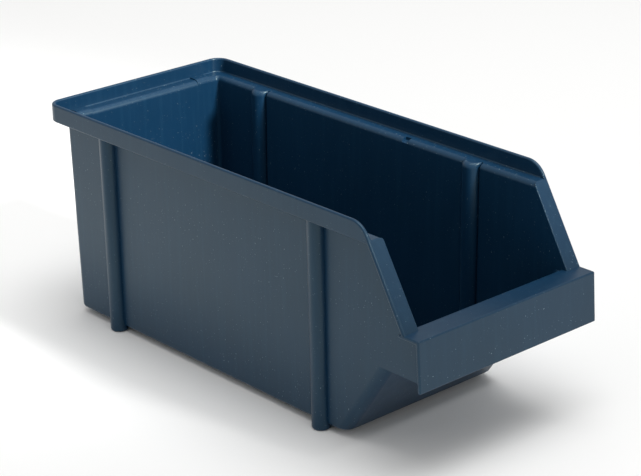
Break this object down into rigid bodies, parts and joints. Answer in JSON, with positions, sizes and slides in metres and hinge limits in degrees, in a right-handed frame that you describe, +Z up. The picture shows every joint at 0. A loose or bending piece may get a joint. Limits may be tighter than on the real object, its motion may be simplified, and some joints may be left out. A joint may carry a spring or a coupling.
{
  "type": "open-front stacking storage bin",
  "caption": "Open-front stacking storage bin in moulded plastic with a rimmed stacking ledge, slanted sides, round side ribs ending in feet and a label plate on the lip.",
  "frame": {"origin": "centre of the footprint, on the surface the four feet stand on", "axes": "+X to the right seen from the open front, +Y towards the closed back, +Z up"},
  "size_m": [0.148, 0.35, 0.1485],
  "materials": {
    "shell": "satin moulded polypropylene, slate blue"
  },
  "bodies": {
    "root": {"back_ledge": "shell", "back_rim": "shell", "back_wall": "shell", "floor": "shell", "front_panel": "shell", "label_plate": "shell", "left_foot_front": "shell", "left_foot_rear": "shell", "left_front_flange": "shell", "left_ledge": "shell", "left_ledge_pad": "shell", "left_lip_web": "shell", "left_rib_front": "shell", "left_rib_rear": "shell", "left_rim": "shell", "left_rim_lug": "shell", "left_wall_front": "shell", "left_wall_middle": "shell", "left_wall_rear": "shell", "lip_shelf": "shell", "right_foot_front": "shell", "right_foot_rear": "shell", "right_front_flange": "shell", "right_ledge": "shell", "right_ledge_pad": "shell", "right_lip_web": "shell", "right_rib_front": "shell", "right_rib_rear": "shell", "right_rim": "shell", "right_rim_lug": "shell", "right_wall_front": "shell", "right_wall_middle": "shell", "right_wall_rear": "shell"}
  },
  "joints": []
}
